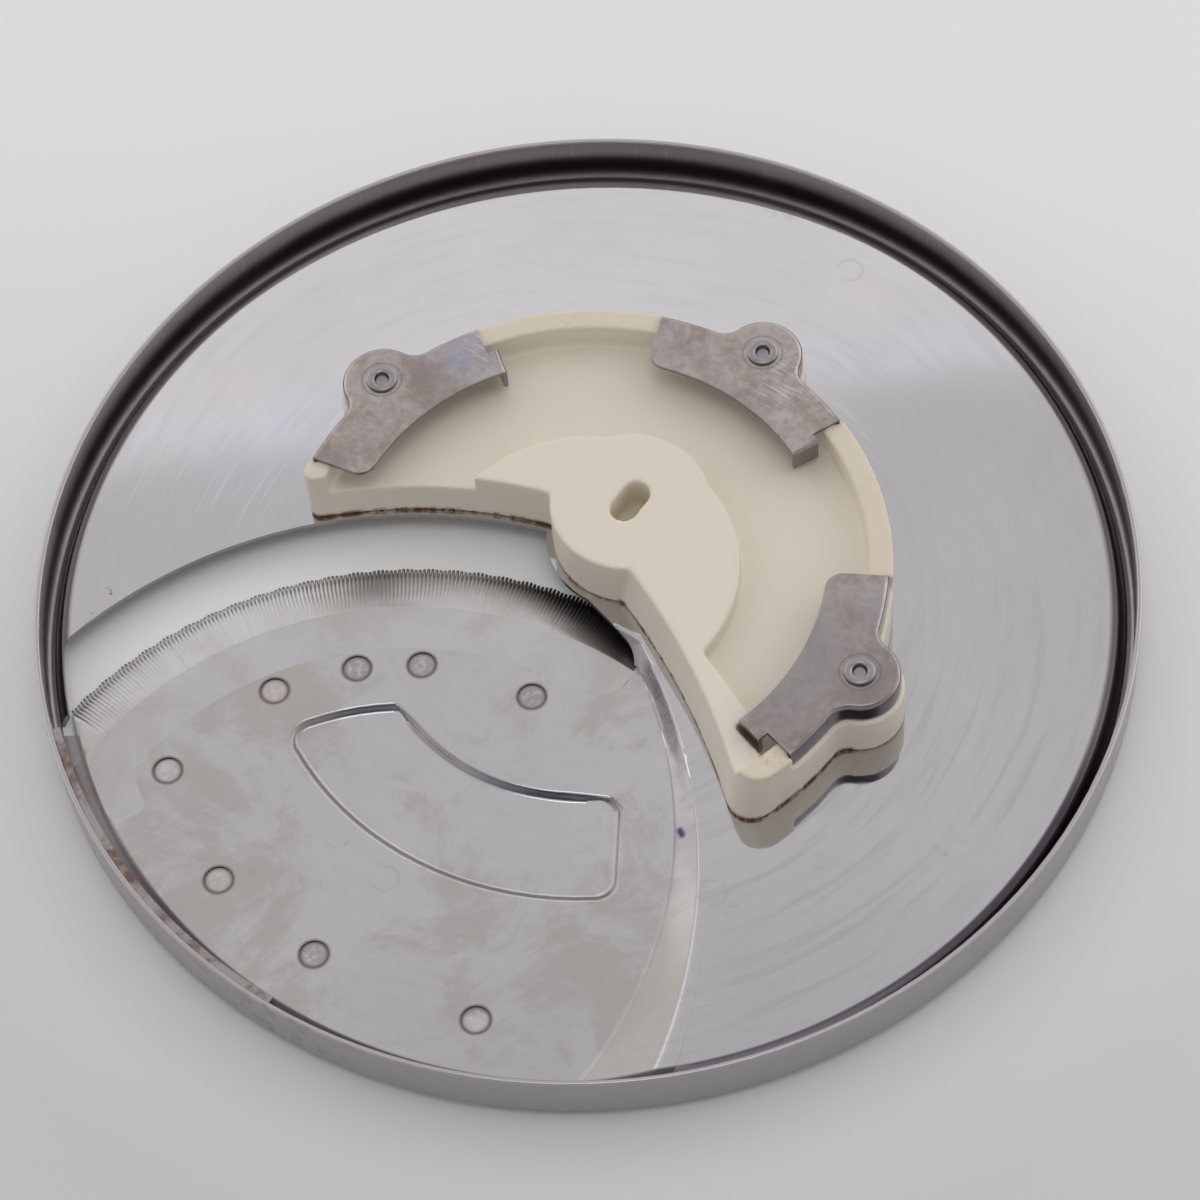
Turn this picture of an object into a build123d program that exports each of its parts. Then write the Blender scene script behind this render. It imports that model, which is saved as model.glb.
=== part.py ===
from build123d import *
import os
from math import acos, copysign, cos, degrees, hypot, pi, radians, sin, sqrt, tan

# Slicing disc for a food processor, in millimetres, as it lies with its working side down.
# +Z is up, along the disc's axis. The origin is on the axis, in the plane the disc rests on.
# Angles are in degrees, anticlockwise from +X as seen from above.

# Pressed steel plate and rolled-up rim
disc_diameter = 180.0
sheet = 0.9
rim_height = 10.5
groove_width = 1.0
groove_depth = 2.9
groove_slope = 1.5
plate_edge_radius = 1.5
rim_bend_radius = 1.3

# Slicing window, struck from the blade's own centre
blade_centre_x = -36.0
blade_centre_y = -57.0
window_far_radius = 77.6
window_near_radius = 53.2
window_rim_gap = 0.3
window_far_corner = 2.5
window_side_top_x = -0.4
window_side_top_y = 0.9
window_side_foot_x = 5.3
window_side_foot_y = -7.4
window_tip_radius = 5.7
relief_start_angle = 187.7
relief_end_angle = 190.3
relief_gap = 0.1
tang_slot_width = 6.5
tang_slot_gap = 1.2
tang_slot_end_angle = 201.7
tang_slot_corner = 2.5
tang_shoulder_radius = 3.5

# Slicing blade
blade_sheet = 0.9
blade_edge_radius = 69.5
blade_bevel = 7.9
blade_edge_thickness = 0.15
blade_inner_radius = 44.0
blade_rim_clearance = 0.5
blade_end_angle = 46.0
blade_end_corner = 6.0
blade_tail_width = 15.0
blade_tail_start_angle = 200.0
blade_tail_end_angle = 257.0
blade_tail_corner = 5.0
tooth_pitch = 0.7
tooth_land = 0.04
flute_depth = 0.3
flute_run = 8.3
flute_clearance = 0.02
teeth_start_angle = 50.0
teeth_end_angle = 137.0
teeth_per_scallop = 6
scallop_depth = 0.3

# Sloped plateau behind the blade, and its ramp up to the plate
plateau_drop = 2.5
ramp_foot_centre_x = -63.4
ramp_foot_centre_y = -35.1
ramp_foot_radius = 74.0
ramp_head_centre_x = -81.6
ramp_head_centre_y = -41.4
ramp_head_radius = 95.2
step_foot_radius = 61.5
step_run = 3.5

# Kidney-shaped stiffening emboss, sunk in the plateau
emboss_depth = 0.9
emboss_outer_radius = 53.1
emboss_width = 17.4
emboss_blade_gap = 2.1
emboss_end_top_x = 1.4
emboss_end_top_y = -38.5
emboss_end_foot_x = -0.3
emboss_end_foot_y = -50.5
emboss_slope = 0.7
emboss_corner = 3.0
emboss_shoulder_corner = 1.5

# Spot welds, as (distance in from an edge, angle): a row along the window's near edge, about
# the blade's centre, and a row along the plate's edge, about the disc's axis
weld_diameter = 4.7
weld_sides = 16
weld_depth = 0.2
blade_welds = [(4.7, 58.3), (3.2, 80.7), (3.2, 92.9), (3.2, 108.9), (4.7, 134.7)]
tail_welds = [(10.4, 214.7), (11.0, 230.4), (10.4, 251.9)]

# Balance strip inside the rim wall
strip_thickness = 1.2
strip_height = 6.6
strip_lip_gap = 0.6
strip_start_angle = 191.5
strip_end_angle = 232.0
strip_fit = 0.05

# Moulded hub
hub_radius = 50.0
hub_wall = 4.0
tray_height = 7.1
hub_wall_height = 4.7
land_radius = 25.3
land_height = 3.4
boss_centre_x = 8.6
boss_centre_y = 11.6
boss_radius = 13.2
boss_window_clearance = 1.1
hub_window_clearance = 0.8
slot_length = 8.2
slot_width = 4.7
slot_angle = 50.0
slot_depth = 7.0
cut_wall_centre_x = -107.7
cut_wall_centre_y = -60.7
cut_wall_radius = 128.0
cut_wall_lean = 1.4
cut_wall_inner_top_x = 17.2
cut_wall_inner_top_y = -17.6
cut_wall_inner_foot_x = 23.1
cut_wall_inner_foot_y = -29.4
window_corner_radius = 1.7
cut_corner_radius = 4.0

# Retaining clips over the three bayonet pockets
clip_angles = [127.8, 47.8, -32.2]
clip_sheet = 0.8
clip_overhang = 6.7
clip_inner_corner = 3.0
clip_inset = 0.6
clip_ahead = 21.7
clip_behind = 21.5
clip_flange = 3.9
clip_fit = 0.1
ear_radius = 7.2
ear_junction = 3.0
tab_wall_gap = 2.0
tab_reach = 2.5
tab_depth = 4.4
tab_play = 0.6

# Semi-tubular rivets through clip, hub and plate
rivet_inset = 0.7
rivet_shank = 3.2
rivet_fit = 0.1
rivet_roll_diameter = 5.1
rivet_roll_height = 0.6
rivet_bore = 2.4
rivet_bore_depth = 3.5
rivet_head_diameter = 6.4
rivet_head_height = 0.8

# Heights above the resting plane, worked out from the sizes above
plateau_top = blade_sheet + sheet
plate_top = plateau_top + plateau_drop
plate_under = plate_top - sheet
groove_floor = plate_top - groove_depth
lip_top = groove_floor - sheet + rim_height
floor_top = plate_top + tray_height
land_top = floor_top + land_height
wall_top = floor_top + hub_wall_height
clip_top = wall_top + clip_sheet
flange_foot = clip_top - clip_flange

# Radii worked out from the sizes above
rim_inner_radius = disc_diameter / 2 - sheet
groove_inner_radius = rim_inner_radius - groove_width
plate_radius = groove_inner_radius - groove_slope
tray_radius = hub_radius - hub_wall
clip_outer_radius = hub_radius - clip_inset
clip_ear_radius = ear_radius - clip_inset
clip_inner_radius = tray_radius - clip_overhang
tab_outer_radius = tray_radius - tab_wall_gap
rivet_circle_radius = hub_radius - rivet_inset
emboss_inner_radius = emboss_outer_radius - emboss_width
emboss_blade_radius = blade_inner_radius - emboss_blade_gap
rivet_hole_radius = rivet_shank / 2 + rivet_fit

# Plan points
blade_centre = Vector(blade_centre_x, blade_centre_y)
window_side_top = Vector(window_side_top_x, window_side_top_y)
window_side_foot = Vector(window_side_foot_x, window_side_foot_y)
ramp_foot_centre = Vector(ramp_foot_centre_x, ramp_foot_centre_y)
ramp_head_centre = Vector(ramp_head_centre_x, ramp_head_centre_y)
emboss_end_top = Vector(emboss_end_top_x, emboss_end_top_y)
emboss_end_foot = Vector(emboss_end_foot_x, emboss_end_foot_y)
boss_centre = Vector(boss_centre_x, boss_centre_y)
cut_wall_centre = Vector(cut_wall_centre_x, cut_wall_centre_y)
cut_wall_inner_top = Vector(cut_wall_inner_top_x, cut_wall_inner_top_y)
cut_wall_inner_foot = Vector(cut_wall_inner_foot_x, cut_wall_inner_foot_y)
axis_point = Vector(0, 0)

margin = 1.0
reach = 2 * disc_diameter


def at(angle, radius, centre=Vector(0, 0)):
    """Point on the plan at a polar position."""
    return centre + Vector(radius * cos(radians(angle)), radius * sin(radians(angle)))


def disc(radius, centre=Vector(0, 0)):
    return Pos(centre.X, centre.Y) * Circle(radius)


def ring(outer, inner, centre=Vector(0, 0)):
    return disc(outer, centre) - disc(inner, centre)


def outline(*points):
    return make_face(Polyline(*points, close=True))


def wedge(start, end, centre=Vector(0, 0)):
    """Plan sector under 180 degrees wide."""
    rim = [at(angle, reach, centre) for angle in (start, (start + end) / 2, end)]
    return outline(centre, *rim)


def prism(plan, low, high):
    return extrude(Pos(0, 0, low) * plan, high - low)


def turned(profile, centre=Vector(0, 0)):
    """Solid of revolution about a vertical axis, from (radius, height) points."""
    face = outline(*[Vector(radius, 0, height) for radius, height in profile])
    return Pos(centre.X, centre.Y) * revolve(face, Axis.Z)


def round_corner(plan, point, radius):
    """Plan with the corner nearest to a point made round."""
    corner = plan.vertices().sort_by_distance((point.X, point.Y, 0))[:1]
    return Sketch() + fillet(corner, radius)


def line_meets(start, direction, centre, radius, crossing):
    """Point where a line enters (-1) or leaves (1) a circle."""
    offset = start - centre
    half = offset.X * direction.X + offset.Y * direction.Y
    rest = offset.X ** 2 + offset.Y ** 2 - radius ** 2
    return start + direction * (crossing * sqrt(half ** 2 - rest) - half)


def circles_meet(first, first_radius, second, second_radius, side):
    """Crossing of two plan circles, left (1) or right (-1) of the way from first to second."""
    between = second - first
    span = hypot(between.X, between.Y)
    lengthwise = (span ** 2 + first_radius ** 2 - second_radius ** 2) / (2 * span)
    across = sqrt(first_radius ** 2 - lengthwise ** 2)
    unit = between / span
    return first + unit * lengthwise + Vector(-unit.Y, unit.X) * across * side


def bend(before, corner, after, radius, flats):
    """Points of a bend at the corner of a half section, as a few flats on its radius."""
    back, ahead = (before - corner).normalized(), (after - corner).normalized()
    half = acos(back.dot(ahead)) / 2
    centre = corner + (back + ahead).normalized() * (radius / sin(half))
    spoke = corner + back * (radius / tan(half)) - centre
    turn = copysign(180 - degrees(2 * half), back.cross(ahead).Y)
    return [centre + spoke.rotate(Axis.Y, -turn * share / flats) for share in range(flats + 1)]


def rim_section():
    """Half section of the plate and its rim, from the axis to the lip and back under it."""
    fall = Vector(groove_slope, -groove_depth).normalized()
    slant = sheet * (1 - fall.X) / -fall.Y
    groove_under = groove_floor - sheet
    start, end = Vector(0, 0, plate_top), Vector(0, 0, plate_under)
    plate_edge = Vector(plate_radius, 0, plate_top)
    groove_edge = Vector(groove_inner_radius, 0, groove_floor)
    rim_foot = Vector(rim_inner_radius + sheet, 0, groove_under)
    groove_foot = Vector(groove_inner_radius - slant, 0, groove_under)
    plate_foot = Vector(plate_radius - slant, 0, plate_under)
    return outline(
        start,
        *bend(start, plate_edge, groove_edge, plate_edge_radius, 2),
        groove_edge,
        Vector(rim_inner_radius, 0, groove_floor),
        Vector(rim_inner_radius, 0, lip_top),
        Vector(rim_inner_radius + sheet, 0, lip_top),
        *bend(Vector(rim_foot.X, 0, lip_top), rim_foot, groove_foot, rim_bend_radius, 2),
        groove_foot,
        plate_foot,
        end,
    )


def slicing_window():
    """Plan of the window with its round tip, the slot round the blade's tang and the relief."""
    side = (window_side_foot - window_side_top).normalized()
    out_of_side = Vector(-side.Y, side.X)
    tip = line_meets(window_side_top - out_of_side * window_tip_radius, side,
                     blade_centre, window_near_radius + window_tip_radius, -1)
    below = Vector(blade_centre.X, -reach)
    beyond_tip = outline(tip, blade_centre, below, Vector(reach, -reach), tip + out_of_side * reach)
    beyond_side = outline(boss_centre, window_side_top, window_side_top + side * reach,
                          Vector(reach, reach))
    band = ring(window_far_radius, window_near_radius, blade_centre)
    rim_radius = plate_radius - window_rim_gap
    slot_radius = plate_radius - tang_slot_gap
    main = band & (disc(slot_radius) + (disc(rim_radius) & wedge(blade_end_angle, relief_end_angle)))
    main = main - beyond_tip - beyond_side + disc(window_tip_radius, tip)
    main = main - disc(boss_radius + boss_window_clearance, boss_centre)
    far_corner = circles_meet(blade_centre, window_far_radius, axis_point, rim_radius, 1)
    main = round_corner(main, far_corner, window_far_corner)
    slot_inner = slot_radius - tang_slot_width
    slot = ring(slot_radius, slot_inner) & wedge(relief_start_angle, tang_slot_end_angle)
    for radius in (slot_radius, slot_inner):
        slot = round_corner(slot, at(tang_slot_end_angle, radius), tang_slot_corner)
    relief = ring(groove_inner_radius - relief_gap, slot_inner)
    relief = relief & wedge(relief_start_angle, relief_end_angle)
    shoulder = circles_meet(blade_centre, window_near_radius, axis_point, slot_inner, 1)
    return round_corner(main + slot + relief, shoulder, tang_shoulder_radius)


def ramp_hollow(drop):
    """Space over the plateau and its ramp, lowered by a drop, inside the rim's groove."""
    low, high = plateau_top - drop, plate_top + margin - drop
    rise = (high - low) / plateau_drop
    head_centre = ramp_foot_centre + (ramp_head_centre - ramp_foot_centre) * rise
    head_radius = ramp_foot_radius + (ramp_head_radius - ramp_foot_radius) * rise
    foot = Pos(0, 0, low) * disc(ramp_foot_radius, ramp_foot_centre)
    head = Pos(0, 0, high) * disc(head_radius, head_centre)
    ramp = loft([foot, head], ruled=True)
    step_head = step_foot_radius + step_run * rise
    step = turned([(0, low), (step_foot_radius, low), (step_head, high), (0, high)], blade_centre)
    return ramp & step & prism(disc(groove_inner_radius), low, high)


def emboss_plan():
    """Flat floor of the kidney-shaped emboss."""
    down = (emboss_end_foot - emboss_end_top).normalized()
    beyond_end = outline(emboss_end_top - down * reach, emboss_end_top + down * reach,
                         Vector(reach, -reach), Vector(reach, reach))
    kidney = ring(emboss_outer_radius, emboss_inner_radius) & disc(emboss_blade_radius, blade_centre)
    kidney = kidney - beyond_end
    corners = [
        (circles_meet(blade_centre, emboss_blade_radius, axis_point, emboss_outer_radius, 1),
         emboss_corner),
        (circles_meet(blade_centre, emboss_blade_radius, axis_point, emboss_inner_radius, 1),
         emboss_shoulder_corner),
        (line_meets(emboss_end_top, down, axis_point, emboss_outer_radius, 1), emboss_corner),
        (line_meets(emboss_end_top, down, axis_point, emboss_inner_radius, 1), emboss_corner),
    ]
    for corner, radius in corners:
        kidney = round_corner(kidney, corner, radius)
    return kidney


def emboss_hollow(drop):
    """Space in the emboss, with sloped sides, lowered by a drop."""
    floor = plateau_top - emboss_depth - drop
    rise = emboss_depth + margin
    plan = emboss_plan()
    spread = emboss_slope * rise / emboss_depth
    head = offset(plan, spread, kind=Kind.ARC)
    return loft([Pos(0, 0, floor) * plan, Pos(0, 0, floor + rise) * head], ruled=True)


def weld_points():
    blade_row = [at(angle, window_near_radius - inset, blade_centre) for inset, angle in blade_welds]
    tail_row = [at(angle, plate_radius - inset) for inset, angle in tail_welds]
    return blade_row + tail_row


def rivet_points():
    return [at(angle, rivet_circle_radius) for angle in clip_angles]


def disc_plate():
    """One pressing: plate, ramp and plateau, emboss, rim, window and rivet holes."""
    plate = revolve(rim_section(), Axis.Z)
    plate = plate + ramp_hollow(sheet) - ramp_hollow(0)
    plate = plate + (emboss_hollow(sheet) & prism(disc(plate_radius), -sheet, plateau_top))
    plate = plate - emboss_hollow(0)
    plate = plate - prism(slicing_window(), -margin, plate_top + margin)
    for point in weld_points():
        dimple = Pos(point.X, point.Y) * RegularPolygon(weld_diameter / 2, weld_sides)
        plate = plate - prism(dimple, plateau_top - weld_depth, plate_top)
    for point in rivet_points():
        plate = plate - prism(disc(rivet_hole_radius, point), 0, plate_top + margin)
    return plate


def tooth_count():
    return int(radians(teeth_end_angle - teeth_start_angle) * blade_edge_radius / tooth_pitch)


def tooth_angle(number):
    return teeth_start_angle + number * degrees(tooth_pitch / blade_edge_radius)


def bevel_height(radius):
    """Height of the ground bevel at a distance from the blade's centre."""
    fall = (blade_sheet - blade_edge_thickness) / blade_bevel
    return blade_edge_thickness + fall * (blade_edge_radius - radius)


def scallops():
    """Plan of what is ground off outside the tips of the teeth, in shallow waves."""
    gaps = []
    for tooth in range(tooth_count()):
        wave = scallop_depth * (1 - cos(2 * pi * tooth / teeth_per_scallop)) / 2
        gaps.append(at(tooth_angle(tooth), blade_edge_radius - wave, blade_centre))
    beyond = [at(tooth_angle(tooth), blade_edge_radius + margin, blade_centre)
              for tooth in range(tooth_count() - 1, -1, -teeth_per_scallop)]
    return outline(*gaps, *beyond)


def flute():
    """V-shaped flute of one tooth gap, deepest at the cutting edge and fading out up the bevel."""
    mouth = blade_edge_radius + margin
    grow = (margin + flute_run) / flute_run
    half_width = (tooth_pitch - tooth_land) / 2 * grow
    top = bevel_height(mouth) + flute_clearance
    bottom = bevel_height(mouth) - flute_depth * grow
    section = outline(Vector(mouth, 0, bottom), Vector(mouth, half_width, top),
                      Vector(mouth, -half_width, top))
    fade = blade_edge_radius - flute_run
    return loft([section, Vertex(fade, 0, bevel_height(fade) + flute_clearance)], ruled=True)


def slicing_blade():
    """Sickle blade under the plateau, its tail following the rim, with a serrated bevel."""
    rim_radius = plate_radius - blade_rim_clearance
    body = ring(blade_edge_radius, blade_inner_radius, blade_centre) & disc(rim_radius)
    body = body & wedge(blade_end_angle, blade_end_angle + 170, blade_centre)
    body = round_corner(body, at(blade_end_angle, blade_edge_radius, blade_centre), blade_end_corner)
    tail = ring(rim_radius, rim_radius - blade_tail_width)
    tail = tail & wedge(blade_tail_start_angle, blade_tail_end_angle)
    for radius in (rim_radius, rim_radius - blade_tail_width):
        tail = round_corner(tail, at(blade_tail_end_angle, radius), blade_tail_corner)
    blade = prism(body + tail, 0, blade_sheet)
    heel = blade_edge_radius - blade_bevel
    toe = blade_edge_radius + margin
    ground = turned([(heel, blade_sheet), (toe, bevel_height(toe)),
                     (toe, blade_sheet + margin), (heel, blade_sheet + margin)], blade_centre)
    blade = blade - ground - prism(scallops(), -margin, blade_sheet + margin)
    flutes = [Pos(blade_centre.X, blade_centre.Y) * Rot(0, 0, tooth_angle(tooth)) * flute()
              for tooth in range(tooth_count())]
    return blade - flutes


def balance_strip():
    """Curved strip that lies against the rim wall, under its lip."""
    outer = rim_inner_radius - strip_fit
    plan = ring(outer, outer - strip_thickness) & wedge(strip_start_angle, strip_end_angle)
    top = lip_top - strip_lip_gap
    return prism(plan, top - strip_height, top)


def eared_disc(outer, ear, junction, angles):
    """Disc with a round ear at each rivet and a hollow junction on both its sides."""
    plan = disc(outer)
    for angle in angles:
        plan = plan + disc(ear, at(angle, rivet_circle_radius))
    spread = degrees(acos((outer ** 2 + rivet_circle_radius ** 2 - ear ** 2)
                          / (2 * outer * rivet_circle_radius)))
    for angle in angles:
        for side in (-1, 1):
            plan = round_corner(plan, at(angle + side * spread, outer), junction)
    return plan


def hub_slice():
    """Sector missing from the hub over the blade: upright at the window, leaning at the cut wall."""
    height = wall_top + margin - plate_top
    lean = cut_wall_lean / (land_top - plate_top)
    wall = turned([(0, plate_top), (cut_wall_radius, plate_top),
                   (cut_wall_radius + lean * height, plate_top + height), (0, plate_top + height)],
                  cut_wall_centre)
    window_side = disc(window_far_radius + hub_window_clearance, blade_centre)
    return wall & prism(window_side, plate_top - margin, wall_top + margin)


def corner_edge(body, corner):
    """Edge between two side faces of a body that passes closest to a plan point."""
    upright = body.edges().filter_by(lambda edge: edge.bounding_box().size.Z > hub_wall_height)
    return upright.sort_by_distance(Vertex(corner.X, corner.Y, land_top))[0]


def drive_slot():
    return Pos(boss_centre.X, boss_centre.Y) * Rot(0, 0, slot_angle) * SlotOverall(slot_length, slot_width)


def hub():
    """One moulding: round wall, tray, raised land with its boss, leaning cut wall and clip seats."""
    shell = prism(eared_disc(hub_radius, ear_radius, ear_junction, clip_angles), plate_top, wall_top)
    shell = shell - prism(disc(tray_radius), floor_top, wall_top + margin)
    inner_face = (cut_wall_inner_foot - cut_wall_inner_top).normalized()
    behind_face = outline(cut_wall_inner_top - inner_face * reach,
                          cut_wall_inner_top + inner_face * reach, Vector(-reach, -reach))
    cut_wall = behind_face & disc(window_far_radius, blade_centre)
    land = (disc(land_radius) + cut_wall) & disc(tray_radius + hub_wall / 2)
    body = shell + prism(land, floor_top - margin, land_top) - hub_slice()
    window_side = window_far_radius + hub_window_clearance
    window_corner = circles_meet(blade_centre, window_side, axis_point, hub_radius, 1)
    cut_corner = circles_meet(cut_wall_centre, cut_wall_radius, axis_point, hub_radius, -1)
    for corner, radius in ((window_corner, window_corner_radius), (cut_corner, cut_corner_radius)):
        body = fillet(corner_edge(body, corner), radius)
    body = body + prism(disc(boss_radius, boss_centre), plate_top, land_top)
    seat_inset = clip_sheet + clip_fit
    flange_line = eared_disc(clip_outer_radius - seat_inset, clip_ear_radius - seat_inset,
                             ear_junction + clip_inset + seat_inset, clip_angles)
    play = degrees(clip_fit / hub_radius)
    for angle in clip_angles:
        seat = (disc(reach) - flange_line) & wedge(angle - clip_behind - play, angle + clip_ahead + play)
        body = body - prism(seat, flange_foot - clip_fit, wall_top + margin)
        pocket = ring(tray_radius, clip_inner_radius - tab_play)
        pocket = pocket & wedge(angle - clip_behind - tab_reach - degrees(tab_play / tab_outer_radius),
                                angle + clip_ahead)
        body = body - prism(pocket, floor_top, wall_top + margin)
    for point in rivet_points():
        body = body - prism(disc(rivet_hole_radius, point), 0, wall_top + margin)
    return body - prism(drive_slot(), land_top - slot_depth, land_top + margin)


def retaining_clip(angle):
    """Pressed cover over one bayonet pocket, flanged round its outside, with a stop tab."""
    sector = wedge(angle - clip_behind, angle + clip_ahead)
    junction = ear_junction + clip_inset
    face = eared_disc(clip_outer_radius, clip_ear_radius, junction, [angle]) & sector
    face = face - disc(clip_inner_radius)
    face = round_corner(face, at(angle + clip_ahead, clip_inner_radius), clip_inner_corner)
    tab_end = angle - clip_behind - tab_reach
    tab = ring(tab_outer_radius, clip_inner_radius) & wedge(tab_end, angle - clip_behind + 1)
    core = eared_disc(clip_outer_radius - clip_sheet, clip_ear_radius - clip_sheet,
                      junction + clip_sheet, [angle])
    clip = prism(face + tab, wall_top, clip_top)
    clip = clip + prism((face - core) & sector, flange_foot, clip_top)
    tab_width = degrees(clip_sheet / clip_inner_radius)
    stop = ring(tab_outer_radius, clip_inner_radius) & wedge(tab_end, tab_end + tab_width)
    clip = clip + prism(stop, clip_top - tab_depth, clip_top)
    return clip - prism(disc(rivet_hole_radius, at(angle, rivet_circle_radius)), 0, clip_top + margin)


def clip_rivet(point):
    """Flat head under the plate, shank, and the rolled-over tube end on the clip."""
    head, shank = rivet_head_diameter / 2, rivet_shank / 2
    roll, bore = rivet_roll_diameter / 2, rivet_bore / 2
    top = clip_top + rivet_roll_height
    profile = [(0, plate_under - rivet_head_height), (head, plate_under - rivet_head_height),
               (head, plate_under), (shank, plate_under), (shank, clip_top), (roll, clip_top),
               (roll, top), (bore, top), (bore, top - rivet_bore_depth), (0, top - rivet_bore_depth)]
    return turned(profile, point)


def build():
    nodes = {
        "disc_plate": disc_plate(),
        "slicing_blade": slicing_blade(),
        "balance_strip": balance_strip(),
        "hub": hub(),
        "clip_rivets": Compound(children=[clip_rivet(point).solid() for point in rivet_points()]),
    }
    for number, angle in enumerate(clip_angles, start=1):
        nodes[f"retaining_clip_{number}"] = retaining_clip(angle)
    return nodes


os.makedirs("parts", exist_ok=True)
for name, shape in build().items():
    export_step(shape, f"parts/{name}.step")
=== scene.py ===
import bpy
import bmesh
from math import cos, degrees, pi, radians, sin
from mathutils import Matrix, Vector
from mathutils.geometry import delaunay_2d_cdt


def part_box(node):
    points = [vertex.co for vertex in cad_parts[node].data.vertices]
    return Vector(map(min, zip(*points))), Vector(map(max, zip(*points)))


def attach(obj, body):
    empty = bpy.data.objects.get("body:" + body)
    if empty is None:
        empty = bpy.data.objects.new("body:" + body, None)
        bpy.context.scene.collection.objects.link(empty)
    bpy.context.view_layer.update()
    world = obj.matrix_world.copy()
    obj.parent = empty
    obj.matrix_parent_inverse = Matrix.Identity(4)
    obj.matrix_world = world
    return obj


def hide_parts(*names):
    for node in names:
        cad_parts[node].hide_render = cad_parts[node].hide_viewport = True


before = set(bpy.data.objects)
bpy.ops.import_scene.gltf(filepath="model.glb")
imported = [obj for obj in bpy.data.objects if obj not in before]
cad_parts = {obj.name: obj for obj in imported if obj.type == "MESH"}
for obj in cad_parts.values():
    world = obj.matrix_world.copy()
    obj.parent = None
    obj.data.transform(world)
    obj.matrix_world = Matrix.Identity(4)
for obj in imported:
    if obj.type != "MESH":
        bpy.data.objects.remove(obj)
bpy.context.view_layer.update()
MM = 0.001

# Sizes of the pressing and the pieces on it, as on the drawing
RIM_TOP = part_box("disc_plate")[1].z
SHEET = 0.9 * MM
PLATEAU_TOP = 1.8 * MM
PLATE_TOP = 4.3 * MM
BLADE_CENTRE = Vector((-36.0, -57.0)) * MM
BLADE_EDGE_RADIUS = 69.5 * MM
BLADE_BEVEL = 7.9 * MM
EMBOSS_MIDDLE = Vector((-24.0, -36.0)) * MM
EMBOSS_REACH = 31.0 * MM
GROOVE_INSIDE = 84.8 * MM
WALL_INSIDE = 88.5 * MM
RIM_OUTSIDE = 90.0 * MM
WINDOW_SIDE = 79.2 * MM
TRAY_TOP = 11.4 * MM
CLIP_TOP = 16.9 * MM
RIVET_CIRCLE = 49.3 * MM
RIVET_ANGLES = (127.8, 47.8, -32.2)
RIVET_FOOT, RIVET_TOP = (corner.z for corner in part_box("clip_rivets"))

# Rounding of the folds and edges
WIDEST = 1.2 * MM
LIP_ROUNDING = 0.36 * MM
RAMP_ROUNDING = 0.6 * MM
EMBOSS_ROUNDING = 0.48 * MM
CLIP_BEND = 0.7 * MM
CLIP_EDGE = 0.12 * MM

# Plan points that lie on each level area of the plate, in metres
ON_PLATEAU = (-0.0600, -0.0450)
IN_EMBOSS = (-0.0300, -0.0400)
ON_PLATE = (0.0650, 0.0200)

# Plan places of the marks on each piece, in metres
# Warm and cool patches on the plate are painted reflections of lamps, in the metal's colour
WARM_PAINTED_GLARE = [(-0.0560, 0.0470), (0.0520, 0.0560)]
COOL_PAINTED_GLARE = [(-0.0560, 0.0340), (-0.0480, 0.0390)]
BROWNEST = [(-0.006, -0.064), (-0.070, -0.037), (-0.052, -0.012)]
CLEANEST = [(-0.040, -0.037), (-0.045, -0.052)]
SPECKED = [(0.052, -0.0525), (0.0155, -0.0580), (0.032, -0.055), (0.040, 0.074)]
DRIED_DROPS = [(0.0505, 0.0606), (-0.0592, -0.0437), (-0.0363, -0.0462), (-0.0435, -0.0375),
               (0.0150, -0.0560)]
CREASE_SPOT = [(0.0109, -0.0432), (0.0111, -0.0438), (0.0113, -0.0444)]
# Places where the sides of the emboss carry the most painted dark reflection
DARK_REFLECTING_BENDS = [(-0.0130, -0.0305), (-0.0370, -0.0170), (-0.0050, -0.0345)]
HANDLED_RIM = [(-0.058, -0.070)]
CRUMB_NEST = [(-0.0835, -0.0250), (-0.0800, -0.0330)]
RUST_SPECKS = [(-0.0815, 0.0075), (-0.0790, 0.0100)]
BROWN_CORNER = [(0.0262, -0.0385)]
RUSTIEST_FOOT = [(-0.0445, 0.0224), (-0.0060, 0.0150)]
MOULDED_RING = [(0.0479, 0.0084)]
MOULDED_ARROW = (1.4 * MM, 46.8 * MM)
THIRD_CLIP = [(0.037, -0.028)]
HEAT_TINT = [(-0.0165, 0.0430)]
RUBBED_ENDS = [(0.0355, 0.0300), (-0.0110, 0.0435)]

# The camera: its lens in millimetres, its place in metres, and where its right and its back point
LENS = 121.96
CAMERA_PLACE = Vector((2.10, -348.82, 571.36)) * MM
CAMERA_RIGHT = (0.99479, -0.08684, -0.05337)
CAMERA_BACK = (0.0, -0.5236, 0.8520)


def at(angle, radius, centre=(0.0, 0.0)):
    """Plan point at an angle in degrees and a radius from a centre."""
    return centre[0] + radius * cos(radians(angle)), centre[1] + radius * sin(radians(angle))


RIVET_PLACES = [at(angle, RIVET_CIRCLE) for angle in RIVET_ANGLES]
BLADE_WELDS = [(58.3, 48.5), (80.7, 50.0), (92.9, 50.0), (108.9, 50.0), (134.7, 48.5)]
TAIL_WELDS = [(214.7, 76.2), (230.4, 75.6), (251.9, 76.2)]
WELDS = [at(angle, radius * MM, BLADE_CENTRE) for angle, radius in BLADE_WELDS]
WELDS += [at(angle, radius * MM) for angle, radius in TAIL_WELDS]


class Wire:
    """A socket in a finish's node tree. Sums and products on it add the Math nodes."""

    def __init__(self, finish, socket):
        self.finish = finish
        self.socket = socket

    def __add__(self, other):
        return self.finish.maths("ADD", self, other)

    def __sub__(self, other):
        return self.finish.maths("SUBTRACT", self, other)

    def __rsub__(self, other):
        return self.finish.maths("SUBTRACT", other, self)

    def __mul__(self, other):
        return self.finish.maths("MULTIPLY", self, other)

    def __truediv__(self, other):
        return self.finish.maths("DIVIDE", self, other)

    __radd__ = __add__
    __rmul__ = __mul__


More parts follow.
